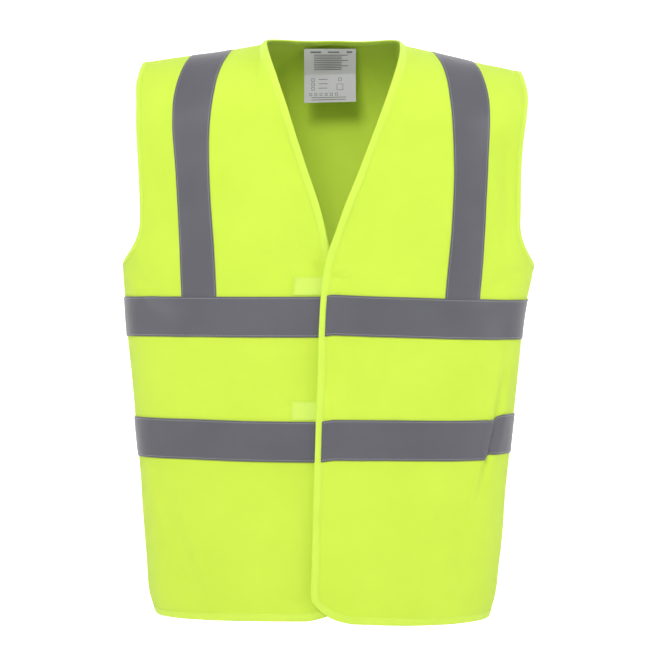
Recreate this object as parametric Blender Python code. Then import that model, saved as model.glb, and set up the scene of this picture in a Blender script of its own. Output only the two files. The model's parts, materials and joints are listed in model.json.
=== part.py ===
"""High visibility vest: knitted front and back panels, bound edges, grey reflective tape in two
hoops and two shoulder braces, hook and loop tabs at the front, and a sewn-in care label.

Units are metres. +X is the wearer's left, -Y the front, +Z up. The origin is midway between the two
neck points, where a hanger or a pair of shoulders carries the vest.

Every piece lies on one surface. A place on it is (turn, run): turn goes round the body, 0 at the
front centre, +0.5 at the left side, 1 at the back centre and negative on the right; run goes down
from the shoulder line, and a negative run is the same distance down the other face.
"""
import math
from functools import lru_cache

import bmesh
import bpy
import numpy as np
from mathutils import Vector

# Body of the vest
LENGTH = 0.7335           # shoulder line to the panels' lower edge
CROWN_HEIGHT = 0.11       # the shoulders' round part, above the upright part
CROWN_RUN = 0.18          # distance along the cloth over that round part
CHEST_DEPTH = 0.122       # half depth, front to back
HEM_DEPTH = 0.132
SHOULDER_WIDTH = 0.258    # half widths of the hoop
CHEST_WIDTH = 0.2615
WAIST_WIDTH = 0.2490
HEM_WIDTH = 0.2165
ARMPIT = 0.288            # depth of the armhole's lowest point
WAIST = 0.400             # depth of the waist
SQUARENESS = 2.6          # 2 is an ellipse; above it the front and back are flatter
SHOULDER_SLOPE = 0.22
SLOPE_ROUND = 0.02        # rounds the slope over at the middle
SLOPE_FADE = 0.25         # depth at which the hoops are level

# Neck, armholes and front edges
NECK_HALF = 0.0855
NECK_DROP = 0.05          # how far the back neckline is scooped
V_DEPTH = 0.272
LEFT_LAP = 0.012          # how far the left front laps past the centre
RIGHT_LAP = 0.020
CORNER_WIDTH = 0.050      # rounded lower corner of each front
CORNER_HEIGHT = 0.030
ARMHOLE_ROUND = 0.058

# Fold line on which each front opens
FOLD_TOP = CROWN_HEIGHT
FOLD_BOTTOM_X = 0.105
FOLD_GAP = 0.001

# Layers, measured outward from the panels' inner face
PANEL = 0.0012
LAYER_GAP = 0.0005
TAPE = 0.0007
ARMHOLE_GAP = 0.0011      # the tightly curved armhole bindings stand further off
BINDING = 0.0006
BINDING_WIDTH = 0.009
EDGE_COLUMN = 0.011       # the panels' second column, just past the binding
LAP_LIFT = 0.0048         # the left front's height over the right one

# Reflective tape and small pieces
TAPE_WIDTH = 0.050
BRACE_WIDTH = 0.045
UPPER_BAND = 0.3305       # depth of each hoop's upper edge
LOWER_BAND = 0.484
TAB_HEIGHT = 0.020
TAB_THICK = 0.0008
LOOP_END = -0.043         # x of the tabs' far ends
HOOK_END = 0.037
TAB_ABOVE_BAND = 0.0025
LABEL_WIDTH = 0.068
LABEL_UPPER = 0.0375
LABEL_LOWER = 0.0375
LABEL_THICK = 0.0006
LABEL_SEAM = (0.0572, -0.0045)   # y and z of the line that the label hangs from
LABEL_LEAN = math.radians(-31.0)    # the upper half lies back along the shoulders
LABEL_FLARE = math.radians(4.0)     # the lower half hangs and tips a little forward
LABEL_GAP = 0.0005        # clearance at each end of a slip, beside its hinges

# Seam allowances on the inner face
SEAM_HALF = 0.010
SEAM_LOW = -0.0014
SEAM_HIGH = -0.0007
SEAM_CLEAR = 0.012        # how far they stop short of the bound edges

# How the left front rises over the right one
LAP_FROM = 0.15           # depth at which it starts, with the depth over which it grows
LAP_GROWTH = 0.08
LAP_SPAN = 0.05           # distance from the fold over which it grows
LAP_SETTLE = 0.055        # depth in which a front's edge reaches its full lap

# Rows of the panels: runs over the crown, then depths below the shoulder line
CROWN_RUNS = (0.0008, 0.020, 0.045, 0.075, 0.105, 0.140, CROWN_RUN)
CHEST_ROWS = (0.125, 0.150, 0.185, 0.230, 0.252, 0.268, 0.279, 0.285, ARMPIT)
BODY_ROWS = (0.308, UPPER_BAND, UPPER_BAND + TAPE_WIDTH, 0.432, LOWER_BAND,
             LOWER_BAND + TAPE_WIDTH, 0.590, 0.650, LENGTH - CORNER_HEIGHT, LENGTH - 0.016,
             LENGTH - 0.007, LENGTH - 0.002, LENGTH)


def depth_of(run):
    """Depth below the shoulder line at a run."""
    if run < CROWN_RUN:
        return CROWN_HEIGHT * (1 - math.cos(run / CROWN_RUN * math.pi / 2))
    return CROWN_HEIGHT + run - CROWN_RUN


def run_of(depth):
    """Run at a depth below the crown."""
    return CROWN_RUN + depth - CROWN_HEIGHT


RUNS = CROWN_RUNS + tuple(run_of(d) for d in CHEST_ROWS + BODY_ROWS)
FLAP_RUNS = tuple(run for run in RUNS if run > CROWN_RUN)
NECK_ANGLES = tuple(math.radians(a) for a in (90, 65, 40, 18, 0))


def ease(share):
    """Smooth step from 0 to 1."""
    share = min(max(share, 0.0), 1.0)
    return share ** 2 * (3 - 2 * share)


@lru_cache(maxsize=None)
def section(run):
    """Quarter hoop from the front centre to the side: share of the turn, x and y."""
    depth = depth_of(run)
    width = float(np.interp(depth, (0, CROWN_HEIGHT / 2, ARMPIT, WAIST, LENGTH),
                            (SHOULDER_WIDTH, CHEST_WIDTH, CHEST_WIDTH, WAIST_WIDTH, HEM_WIDTH)))
    if run < CROWN_RUN:
        deep = CHEST_DEPTH * math.sin(run / CROWN_RUN * math.pi / 2)
    else:
        deep = float(np.interp(depth, (CROWN_HEIGHT, LENGTH), (CHEST_DEPTH, HEM_DEPTH)))
    angle = np.linspace(0, math.pi / 2, 900)
    x = width * np.sin(angle) ** (2 / SQUARENESS)
    y = -deep * np.cos(angle) ** (2 / SQUARENESS)
    steps = np.hypot(np.diff(x), np.diff(y))
    share = np.concatenate(([0], np.cumsum(steps)))
    return 0.5 * share / share[-1], x, y


def spot(turn, run):
    """The point of the base surface at (turn, run)."""
    turn = (turn + 1) % 2 - 1
    if run < 0:
        turn = math.copysign(1 - abs(turn), turn)
        run = -run
    share, xs, ys = section(round(run, 7))
    part = min(abs(turn), 1 - abs(turn))
    x = math.copysign(float(np.interp(part, share, xs)), turn)
    y = float(np.interp(part, share, ys))
    if abs(turn) > 0.5:
        y = -y
    slope = SHOULDER_SLOPE * (math.hypot(NECK_HALF, SLOPE_ROUND) - math.hypot(x, SLOPE_ROUND))
    depth = depth_of(run)
    return Vector((x, y, slope * (1 - ease(depth / SLOPE_FADE)) - depth))


def slopes(turn, run):
    """Derivatives of the surface along turn and run."""
    d_turn, d_run = 0.004, 0.002
    along = (spot(turn + d_turn, run) - spot(turn - d_turn, run)) / (2 * d_turn)
    down = (spot(turn, run + d_run) - spot(turn, run - d_run)) / (2 * d_run)
    return along, down


def outward(turn, run):
    """Unit normal, away from the wearer."""
    along, down = slopes(turn, run)
    normal = along.cross(down).normalized()
    centre = Vector((0, 0, -0.25))
    return normal if normal.dot(spot(turn, run) - centre) > 0 else -normal


def lifted(turn, run, height):
    return spot(turn, run) + outward(turn, run) * height


def turn_at(x, run):
    """Turn of the front face's point at this x."""
    share, xs, _ = section(round(run, 7))
    return math.copysign(float(np.interp(abs(x), xs, share)), x)


def walked(turn, run, direction, distance):
    """The place reached from (turn, run) by going a small distance along a direction."""
    along, down = slopes(turn, run)
    matrix = np.array([along, down]).T
    step, *_ = np.linalg.lstsq(matrix, np.array(direction) * distance, rcond=None)
    return turn + float(step[0]), run + float(step[1])


# ---------------------------------------------------------------- outlines
def v_edge(depth):
    """Half width of the V at a depth; negative past the centre is the lap."""
    return float(np.interp(depth, (0, 0.07, 0.137, 0.205, V_DEPTH),
                           (NECK_HALF, 0.067, 0.045, 0.021, 0.0)))


def front_edge_x(side, run):
    """x of a front's free edge; side is +1 for the left front, -1 for the right one."""
    depth = depth_of(run)
    if depth < V_DEPTH:
        return side * v_edge(depth)
    lap = LEFT_LAP if side > 0 else RIGHT_LAP
    return -side * lap * (1 - math.exp(-(depth - V_DEPTH) / LAP_SETTLE))


def corner_inset(run):
    """How far the rounded lower corner pulls a front's edge back at a run."""
    into = min(max(1 - (LENGTH - depth_of(run)) / CORNER_HEIGHT, 0.0), 1.0)
    return CORNER_WIDTH * (1 - math.sqrt(1 - into ** 2))


def fold_x(side, run):
    """x of the line on which a front opens."""
    top = v_edge(FOLD_TOP)
    share = (depth_of(run) - FOLD_TOP) / (LENGTH - FOLD_TOP)
    return side * (top + (FOLD_BOTTOM_X - top) * share)


def armhole_turn(side, run):
    """Turn of the front's armhole edge, or of its side seam below the armhole."""
    depth = depth_of(run)
    if depth >= ARMPIT:
        return side * 0.5
    x = float(np.interp(depth, (0, 0.03, 0.11, 0.20), (0.2425, 0.2485, 0.2435, 0.2392)))
    upright = turn_at(x, run)
    rise = min((ARMPIT - depth) / ARMHOLE_ROUND, 1.0)
    opened = math.sqrt(1 - (1 - rise) ** 2)
    return side * (0.5 - (0.5 - upright) * opened)


def shift(turn, run, distance):
    """Turn moved by a distance along the hoop."""
    along, _ = slopes(turn, run)
    return turn + distance / along.length


# ---------------------------------------------------------------- mesh makers
def material(name, colour, roughness, metallic=0.0):
    mat = bpy.data.materials.new(name)
    mat.use_nodes = True
    shader = mat.node_tree.nodes["Principled BSDF"]
    shader.inputs["Base Color"].default_value = (*colour, 1)
    shader.inputs["Roughness"].default_value = roughness
    shader.inputs["Metallic"].default_value = metallic
    mat.diffuse_color = (*colour, 1)
    return mat


def finish(name, mesh_data, mat, smooth=True):
    bmesh.ops.recalc_face_normals(mesh_data, faces=mesh_data.faces)
    mesh = bpy.data.meshes.new(name)
    mesh_data.to_mesh(mesh)
    mesh_data.free()
    if smooth:
        mesh.shade_smooth()
        mesh.set_sharp_from_angle(angle=math.radians(40))
    mesh.materials.append(mat)
    node = bpy.data.objects.new(name, mesh)
    bpy.context.collection.objects.link(node)
    return node


def hang_on(node, axis_empty):
    """Parent a moving piece to the empty on its hinge axis, leaving it where it is."""
    node.parent = axis_empty
    node.matrix_parent_inverse = axis_empty.matrix_world.inverted()


def shell(name, grid, low, high, mat):
    """Closed sheet over a grid of (turn, run, lift) places, between two heights."""
    bm = bmesh.new()
    layers = []
    for height in (low, high):
        layers.append([[bm.verts.new(lifted(t, r, height + lift)) for t, r, lift in row]
                       for row in grid])
    rows, columns = len(grid), len(grid[0])
    for layer in layers:
        for i in range(rows - 1):
            for j in range(columns - 1):
                bm.faces.new((layer[i][j], layer[i][j + 1], layer[i + 1][j + 1], layer[i + 1][j]))
    rim = [(0, j) for j in range(columns)]
    rim += [(i, columns - 1) for i in range(1, rows)]
    rim += [(rows - 1, j) for j in range(columns - 2, -1, -1)]
    rim += [(i, 0) for i in range(rows - 2, 0, -1)]
    inner, outer = layers
    for (i, j), (k, m) in zip(rim, rim[1:] + rim[:1]):
        bm.faces.new((inner[i][j], inner[k][m], outer[k][m], outer[i][j]))
    bmesh.ops.triangulate(bm, faces=bm.faces)
    return finish(name, bm, mat)


def binding(name, places, side, mat, gap=LAYER_GAP):
    """Strip folded over an edge. places are (turn, run, lift) along the edge; side is +1 where
    the cloth lies to the left of the way they run, seen from outside, and -1 to the right."""
    top, bottom = PANEL + gap, -gap
    inside, outside = -LAYER_GAP, -LAYER_GAP - BINDING
    profile = ((BINDING_WIDTH, top + BINDING), (outside, top + BINDING),
               (outside, bottom - BINDING), (BINDING_WIDTH, bottom - BINDING),
               (BINDING_WIDTH, bottom), (inside, bottom), (inside, top), (BINDING_WIDTH, top))
    points = [spot(t, r) for t, r, _ in places]
    bm = bmesh.new()
    rings = []
    for k, (turn, run, lift) in enumerate(places):
        way = points[min(k + 1, len(points) - 1)] - points[max(k - 1, 0)]
        inward = outward(turn, run).cross(way).normalized() * side
        ring = []
        for distance, height in profile:
            t, r = walked(turn, run, inward, distance)
            ring.append(bm.verts.new(lifted(t, r, height + lift)))
        rings.append(ring)
    count = len(profile)
    for ring, following in zip(rings, rings[1:]):
        for j in range(count):
            k = (j + 1) % count
            bm.faces.new((ring[j], ring[k], following[k], following[j]))
    for ring in (rings[0], rings[-1]):
        bm.faces.new((ring[0], ring[1], ring[6], ring[7]))
        bm.faces.new((ring[1], ring[2], ring[5], ring[6]))
        bm.faces.new((ring[2], ring[3], ring[4], ring[5]))
    bmesh.ops.triangulate(bm, faces=bm.faces)
    return finish(name, bm, mat)


# ---------------------------------------------------------------- columns of each panel
def lap_lift(side, turn, run):
    """Height of the left front over the right one; none at the fold and near the neck."""
    if side < 0:
        return 0.0
    across = ease((fold_x(1, run) - spot(turn, run).x) / LAP_SPAN)
    return LAP_LIFT * across * ease((depth_of(run) - LAP_FROM) / LAP_GROWTH)


def spread(start, end, run, cells, edge_first, narrow_last):
    """Turns from start to end: one narrow column beside a bound first edge, and narrow_last
    narrow ones where the cloth bends round the side."""
    along, _ = slopes(0.5 * (start + end), run)
    width = abs(end - start)
    narrow = min(EDGE_COLUMN / along.length, width / (2.5 + narrow_last))
    way = math.copysign(narrow, end - start)
    first = start + way if edge_first else start
    last = end - way * narrow_last
    inner_cells = cells - int(edge_first) - narrow_last
    middle = [first + (last - first) * k / inner_cells for k in range(inner_cells + 1)]
    tail = [last + way * (k + 1) for k in range(narrow_last)]
    return ([start] if edge_first else []) + middle + tail


def side_front_row(side, run):
    """One row of a front's fixed part, from the V edge or the fold to the armhole or side."""
    if run <= CROWN_RUN:
        start = turn_at(front_edge_x(side, run), run)
    else:
        start = shift(turn_at(fold_x(side, run), run), run, side * FOLD_GAP)
    end = armhole_turn(side, run)
    if depth_of(run) >= ARMPIT:
        end = shift(end, run, -side * FOLD_GAP / 2)
    return [(t, run, 0.0) for t in spread(start, end, run, 10, True, 3)]


def flap_row(side, run):
    """One row of a front's opening part, from its free edge to the fold."""
    edge = turn_at(front_edge_x(side, run), run)
    start = shift(edge, run, side * corner_inset(run))
    end = shift(turn_at(fold_x(side, run), run), run, -side * FOLD_GAP)
    turns = spread(start, end, run, 6, True, 0)
    return [(t, run, lap_lift(side, t, run)) for t in turns]


def back_half_row(side, run):
    """Half a row of the back, from its centre to one side."""
    places = []
    straight_run = 0.14
    for angle in NECK_ANGLES:
        x = NECK_HALF * math.cos(angle)
        top = NECK_DROP * math.sin(angle) ** 2
        here = run
        if run < straight_run:
            here = top + run / straight_run * (straight_run - top)
        front_turn = turn_at(max(x, 1e-6), here)
        places.append((side * (1 - front_turn), here, 0.0))
    neck_turn = 1 - turn_at(NECK_HALF, run)
    end = 1 - armhole_turn(1, run)
    if depth_of(run) >= ARMPIT:
        end = shift(end, run, FOLD_GAP / 2)
    outer = spread(neck_turn, end, run, 9, False, 3)
    return places + [(side * t, run, 0.0) for t in outer[1:]]


def back_row(run):
    left = back_half_row(1, run)
    right = [(t % 2, r, lift) for t, r, lift in back_half_row(-1, run)]
    return left[::-1] + right[1:]


# ---------------------------------------------------------------- edges that are bound
def front_binding_places(side):
    """Down the V and the front edge, round the corner and along the hem to the fold."""
    rows = [flap_row(side, run) for run in FLAP_RUNS]
    return [row[0] for row in rows] + rows[-1][1:]


def neck_binding_places():
    """From one fold up over the neck point, round the back neckline and down to the other."""
    left = [(turn_at(front_edge_x(1, run), run), run, 0.0) for run in reversed(CROWN_RUNS[1:])]
    left.append((turn_at(NECK_HALF, 0), 0.0, 0.0))
    half = []
    for angle in reversed(NECK_ANGLES[:-1]):
        run = NECK_DROP * math.sin(angle) ** 2
        half.append((1 - turn_at(max(NECK_HALF * math.cos(angle), 1e-6), run), run, 0.0))
    right = [((-t) % 2, r, lift) for t, r, lift in reversed(left + half[:-1])]
    return left + half + right


def armhole_places(side):
    """From the seam at the bottom, up the front edge, over the shoulder and down the back."""
    rows = [run for run in RUNS if depth_of(run) < ARMPIT and run > CROWN_RUNS[0]]
    bottom = run_of(ARMPIT)
    front = [(armhole_turn(side, run), run, 0.0) for run in reversed(rows)]
    top = [(armhole_turn(side, 0.0), 0.0, 0.0)]
    back = [(side * (1 - abs(armhole_turn(side, run))), run, 0.0) for run in rows]
    away = side * LAYER_GAP
    first = [(shift(side * 0.5, bottom, -away), bottom, 0.0)]
    last = [(shift(side * 0.5, bottom, away), bottom, 0.0)]
    return first + front + top + back + last


def hem_binding_places():
    """Along the hem from the left fold round the back to the right fold."""
    run = run_of(LENGTH)
    left = side_front_row(1, run)
    right = side_front_row(-1, run)
    back = back_row(run)
    return left + back[1:-1] + [(t % 2, r, lift) for t, r, lift in reversed(right)]


# ---------------------------------------------------------------- the pieces
def clear_scene():
    for old in list(bpy.data.objects):
        bpy.data.objects.remove(old, do_unlink=True)


def hinge(name, low, high):
    """Empty on a hinge axis, its Z along the axis."""
    empty = bpy.data.objects.new(name, None)
    empty.empty_display_size = 0.05
    empty.rotation_mode = "QUATERNION"
    empty.rotation_quaternion = (high - low).to_track_quat("Z", "Y")
    empty.location = (low + high) / 2
    bpy.context.collection.objects.link(empty)
    bpy.context.view_layer.update()
    return empty


def fold_axis(side):
    """Two points of the straight axis that lies just outside a front's fold line."""
    outside = PANEL + LAYER_GAP + BINDING + LAYER_GAP
    line = [lifted(turn_at(fold_x(side, run), run), run, outside) for run in FLAP_RUNS]
    top, bottom = line[0], line[-1]
    across = Vector((0, -1, 0))
    bulge = 0.0
    for point in line:
        share = (top.z - point.z) / (top.z - bottom.z)
        bulge = max(bulge, (point - top.lerp(bottom, share)).dot(across))
    return top + across * bulge, bottom + across * bulge


def make_panels(knit):
    shell("back_panel", [back_row(run) for run in RUNS], 0, PANEL, knit)
    for side, word in ((1, "left"), (-1, "right")):
        shell(f"{word}_front_panel", [side_front_row(side, run) for run in RUNS], 0, PANEL, knit)
        flap = shell(f"{word}_front_flap", [flap_row(side, run) for run in FLAP_RUNS],
                     0, PANEL, knit)
        hang_on(flap, bpy.data.objects[f"{word}_fold"])


def make_bindings(cloth):
    binding("neck_binding", neck_binding_places(), -1, cloth)
    binding("hem_binding", hem_binding_places(), 1, cloth)
    for side, word in ((1, "left"), (-1, "right")):
        binding(f"{word}_armhole_binding", armhole_places(side), side, cloth, ARMHOLE_GAP)
        edge = binding(f"{word}_front_binding", front_binding_places(side), side, cloth)
        hang_on(edge, bpy.data.objects[f"{word}_fold"])


def make_bands(tape):
    low = PANEL + LAYER_GAP
    high = low + TAPE
    for word, depth in (("upper", UPPER_BAND), ("lower", LOWER_BAND)):
        runs = (run_of(depth), run_of(depth + TAPE_WIDTH))
        shell(f"{word}_band_back", [back_row(run) for run in runs], low, high, tape)
        for side, hand in ((1, "left"), (-1, "right")):
            rows = [side_front_row(side, run) for run in runs]
            shell(f"{word}_band_{hand}_side", rows, low, high, tape)
            rows = [flap_row(side, run)[1:] for run in runs]
            flap = shell(f"{word}_band_{hand}_flap", rows, low, high, tape)
            hang_on(flap, bpy.data.objects[f"{hand}_fold"])


def make_braces(tape):
    """Tapes over the shoulders, from the front hoop to the back one."""
    low = PANEL + LAYER_GAP
    ends = run_of(UPPER_BAND - LAYER_GAP)
    runs = [run for run in RUNS if run < ends and run > CROWN_RUNS[0]] + [ends]
    stations = list(reversed(runs)) + [0.0] + [-run for run in runs]
    for side, word in ((1, "left"), (-1, "right")):
        grid = []
        for run in stations:
            down = abs(run)
            x = float(np.interp(depth_of(down), (0, 0.02, 0.06, 0.10, 0.15, 0.22, UPPER_BAND),
                                (0.153, 0.163, 0.172, 0.174, 0.1735, 0.1715, 0.164)))
            middle = turn_at(side * x, down)
            grid.append([(shift(middle, down, offset * BRACE_WIDTH / 2), run, 0.0)
                         for offset in (-1, -1 / 3, 1 / 3, 1)])
        shell(f"{word}_shoulder_brace", grid, low, low + TAPE, tape)


def tab(name, side, depth, x_far, low, high, mat):
    """Hook or loop square from beside a front's binding to x_far."""
    runs = (run_of(depth), run_of(depth + TAB_HEIGHT / 2), run_of(depth + TAB_HEIGHT))
    x_near = front_edge_x(side, runs[0]) + side * (BINDING_WIDTH + 0.001)
    grid = []
    for run in runs:
        turns = [turn_at(x_near + (x_far - x_near) * k / 3, run) for k in range(4)]
        grid.append([(t, run, lap_lift(side, t, run)) for t in turns])
    node = shell(name, grid, low, high, mat)
    hang_on(node, bpy.data.objects["left_fold" if side > 0 else "right_fold"])


def make_tabs(loop, hook):
    """Loop squares outside the right front, hook squares inside the left one over them."""
    top = PANEL + LAYER_GAP
    for word, band in (("upper", UPPER_BAND), ("lower", LOWER_BAND)):
        depth = band - TAB_ABOVE_BAND - TAB_HEIGHT
        tab(f"{word}_loop_tab", -1, depth, LOOP_END, top, top + TAB_THICK, loop)
        tab(f"{word}_hook_tab", 1, depth, HOOK_END, -LAYER_GAP - TAB_THICK, -LAYER_GAP, hook)


def make_seams(knit):
    """Seam allowances inside, at the sides and along the shoulders."""
    top, bottom = run_of(ARMPIT + SEAM_CLEAR), run_of(LENGTH - SEAM_CLEAR)
    runs = [run for run in RUNS if top < run < bottom] + [bottom]
    offsets = (-SEAM_HALF, 0.0, SEAM_HALF)
    cells = 7
    for side, word in ((1, "left"), (-1, "right")):
        grid = [[(shift(side * 0.5, run, side * offset), run, 0.0) for offset in offsets]
                for run in runs]
        shell(f"{word}_side_seam", grid, SEAM_LOW, SEAM_HIGH, knit)
        grid = []
        for run in offsets:
            down = abs(run)
            start = shift(turn_at(side * NECK_HALF, down), down, side * SEAM_CLEAR)
            end = shift(armhole_turn(side, down), down, -side * SEAM_CLEAR)
            grid.append([(start + (end - start) * k / cells, run, 0.0) for k in range(cells + 1)])
        shell(f"{word}_shoulder_seam", grid, SEAM_LOW, SEAM_HIGH, knit)


def hanging(lean):
    """Downward direction, leaning to the front by an angle."""
    return Vector((0, -math.sin(lean), -math.cos(lean)))


def label_piece(name, hinge_point, length, lean, mat):
    """Flat slip that hangs from a line along X."""
    thick = Vector((0, math.cos(lean), -math.sin(lean))) * LABEL_THICK / 2
    bm = bmesh.new()
    corners = []
    for x in (-LABEL_WIDTH / 2, LABEL_WIDTH / 2):
        for along in (LABEL_GAP, length - LABEL_GAP):
            for way in (-1, 1):
                place = hinge_point + hanging(lean) * along + thick * way + Vector((x, 0, 0))
                corners.append(bm.verts.new(place))
    bmesh.ops.convex_hull(bm, input=corners)
    bmesh.ops.triangulate(bm, faces=bm.faces)
    return finish(name, bm, mat, smooth=False)


def make_label(slip):
    """Care label in two halves, hinged at its seam and at its crease."""
    seam = Vector((0, *LABEL_SEAM))
    crease = seam + hanging(LABEL_LEAN) * LABEL_UPPER
    across = Vector((LABEL_WIDTH / 2, 0, 0))
    seam_axis = hinge("label_seam", seam + across, seam - across)
    crease_axis = hinge("label_crease", crease + across, crease - across)
    upper = label_piece("label_upper", seam, LABEL_UPPER, LABEL_LEAN, slip)
    lower = label_piece("label_lower", crease, LABEL_LOWER, LABEL_FLARE, slip)
    hang_on(upper, seam_axis)
    hang_on(lower, crease_axis)


def main():
    clear_scene()
    knit = material("yellow_knit", (0.66, 0.90, 0.06), 0.85)
    edge = material("yellow_binding", (0.58, 0.82, 0.08), 0.8)
    tape = material("reflective_tape", (0.14, 0.14, 0.15), 0.45)
    hook = material("hook_tape", (0.60, 0.85, 0.10), 0.7)
    loop = material("loop_tape", (0.70, 0.92, 0.15), 0.9)
    slip = material("label_satin", (0.62, 0.62, 0.60), 0.6)
    for side, word in ((1, "left"), (-1, "right")):
        top, bottom = fold_axis(side)
        if side > 0:
            hinge(f"{word}_fold", bottom, top)
        else:
            hinge(f"{word}_fold", top, bottom)
    make_panels(knit)
    make_bindings(edge)
    make_bands(tape)
    make_braces(tape)
    make_tabs(loop, hook)
    make_seams(knit)
    make_label(slip)


main()
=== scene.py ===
"""High visibility vest: the fine cloth, tape, binding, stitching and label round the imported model.

Units are metres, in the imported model's frame: +X is the wearer's left, -Y the front, +Z up, and the
origin lies midway between the neck points. Every piece is laid on one garment surface. A place on it
is (turn, run): turn goes round the body, 0 at the front centre, +0.5 at the left side, 1 at the back
centre and negative on the right; run goes down from the shoulder line, and a negative run is the same
distance down the other face.
"""
import json
import math
from functools import lru_cache

import bmesh
import bpy
import numpy as np
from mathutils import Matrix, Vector, noise


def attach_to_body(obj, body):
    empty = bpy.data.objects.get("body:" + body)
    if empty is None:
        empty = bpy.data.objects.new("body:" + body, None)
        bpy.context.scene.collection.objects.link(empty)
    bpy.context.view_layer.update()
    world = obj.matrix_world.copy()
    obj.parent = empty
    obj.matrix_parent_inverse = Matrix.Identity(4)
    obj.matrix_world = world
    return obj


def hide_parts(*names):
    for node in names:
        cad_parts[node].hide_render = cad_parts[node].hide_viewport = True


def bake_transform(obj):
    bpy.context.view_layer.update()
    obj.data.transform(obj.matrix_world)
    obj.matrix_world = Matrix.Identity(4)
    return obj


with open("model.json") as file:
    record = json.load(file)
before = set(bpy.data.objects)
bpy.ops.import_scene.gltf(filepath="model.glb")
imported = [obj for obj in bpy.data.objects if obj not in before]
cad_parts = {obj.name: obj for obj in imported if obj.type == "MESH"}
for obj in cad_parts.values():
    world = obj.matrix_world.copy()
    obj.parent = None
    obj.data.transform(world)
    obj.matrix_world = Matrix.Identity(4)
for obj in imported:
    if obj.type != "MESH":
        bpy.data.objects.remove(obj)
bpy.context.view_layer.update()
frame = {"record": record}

# ---- the garment's dimensions
# Depths go down from the neck points. Side 1 is the wearer's left and side -1 the right.
LENGTH = 0.7335
CROWN_HEIGHT, CROWN_RUN = 0.11, 0.18    # of the rounded shoulders
CHEST_DEPTH, HEM_DEPTH = 0.122, 0.132    # half the size from front to back
SQUARENESS = 2.6    # exponent of each hoop's superellipse
ARMPIT = 0.288
WIDTH_DEPTHS = (0, 0.06, 0.2, 0.25, ARMPIT, 0.334, 0.4, 0.53, 0.66, 0.716, LENGTH)
HALF_WIDTHS = (0.259, 0.2625, 0.26, 0.259, 0.2613, 0.2557, 0.249, 0.237, 0.2272, 0.2201, 0.2135)
NECK_HALF, NECK_DROP = 0.0855, 0.05    # half the neck's width, and its dip at the back
NECK_SLOPE, SHOULDER_SLOPE, SLOPE_DIFFERENCE = 0.215, 0.195, 0.043
NECK_STAND = 0.0056    # the neck edge stands this far above the shoulders
NECK_ROUND = 0.02
V_DEPTH = 0.272
CORNER_SIZES = {1: (0.06, 0.034), -1: (0.045, 0.026)}    # width and height of each lower corner
ARMHOLE_ROUND = 0.054    # height of the rounded bottom of the armhole
ARMHOLE_DEPTHS = (0, 0.03, 0.06, 0.11, 0.16, 0.2, 0.24)
ARMHOLE_X = (0.2425, 0.2485, 0.247, 0.2435, 0.2405, 0.2392, 0.2388)
FOLD_TOP_X, FOLD_BOTTOM_X = 0.0537, 0.105    # the line on which each front opens
LAP_LIFT = 0.0046    # height of the left front over the right one
PANEL = 0.0011    # thickness of the cloth
TAPE_WIDTH, BRACE_WIDTH = 0.0503, 0.0465
UPPER_BAND, LOWER_BAND = 0.3305, 0.484    # depths of the upper edges of the hoops
BINDING_WIDTH, ARMHOLE_BINDING = 0.009, 0.0075
BINDING_GAP, BINDING_THICK = 0.00012, 0.00045
SIDES = {1: "left", -1: "right"}


def ease(value):
    value = np.clip(value, 0, 1)
    return value * value * (3 - 2 * value)


def curve(x, xs, ys):
    """Smooth curve through points, level beyond its ends."""
    xs, ys = np.asarray(xs, float), np.asarray(ys, float)
    slopes = np.gradient(ys, xs)
    x = np.clip(x, xs[0], xs[-1])
    k = np.clip(np.searchsorted(xs, x, side="right") - 1, 0, len(xs) - 2)
    gap = xs[k + 1] - xs[k]
    t = (x - xs[k]) / gap
    rise = (3 - 2 * t) * t * t
    bend = t * (1 - t) * ((1 - t) * slopes[k] - t * slopes[k + 1])
    return ys[k] + (ys[k + 1] - ys[k]) * rise + gap * bend


def unit(vectors):
    return vectors / (np.linalg.norm(vectors, axis=-1, keepdims=True) + 1e-12)


def distances_along(line):
    """Distance of each point of a line from its start."""
    return np.concatenate([[0], np.cumsum(np.linalg.norm(np.diff(line, axis=0), axis=1))])


def depth_of(run):
    """Depth below the shoulder line at a run."""
    run = np.asarray(run, float)
    crown = CROWN_HEIGHT * (1 - np.cos(np.minimum(run / CROWN_RUN, 1) * math.pi / 2))
    return np.where(run < CROWN_RUN, crown, CROWN_HEIGHT + run - CROWN_RUN)


def run_of(depth):
    return CROWN_RUN + depth - CROWN_HEIGHT


# ---- the garment surface
@lru_cache(maxsize=None)
def section(run):
    """Quarter hoop from the front centre to the side: share of the turn, x and y."""
    depth = float(depth_of(run))
    width = float(curve(depth, WIDTH_DEPTHS, HALF_WIDTHS))
    if run < CROWN_RUN:
        deep = CHEST_DEPTH * math.sin(run / CROWN_RUN * math.pi / 2)
    else:
        deep = float(np.interp(depth, (CROWN_HEIGHT, LENGTH), (CHEST_DEPTH, HEM_DEPTH)))
    angle = np.linspace(0, math.pi / 2, 700)
    x = width * np.sin(angle) ** (2 / SQUARENESS)
    y = -deep * np.cos(angle) ** (2 / SQUARENESS)
    steps = np.hypot(np.diff(x), np.diff(y))
    share = np.concatenate(([0], np.cumsum(steps)))
    return 0.5 * share / share[-1], x, y


def turn_at(x, run):
    """Turn of the front face's point at this x, before the cloth's folds."""
    share, xs, _ = section(round(float(run), 5))
    return math.copysign(float(np.interp(abs(x), xs, share)), x)


def crease(points, start, end, width, height):
    """Height of a soft ridge, or a valley where height is negative, along a segment."""
    start, end = np.array(start), np.array(end)
    way = end - start
    length = np.linalg.norm(way)
    along = (points - start) @ way / length ** 2
    off = points - start - along[..., None] * way
    across = np.linalg.norm(off, axis=-1)
    ends = ease((along + 0.25) / 0.5) * ease((1.25 - along) / 0.5)
    return height * np.exp(-(across / width) ** 2) * ends


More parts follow.
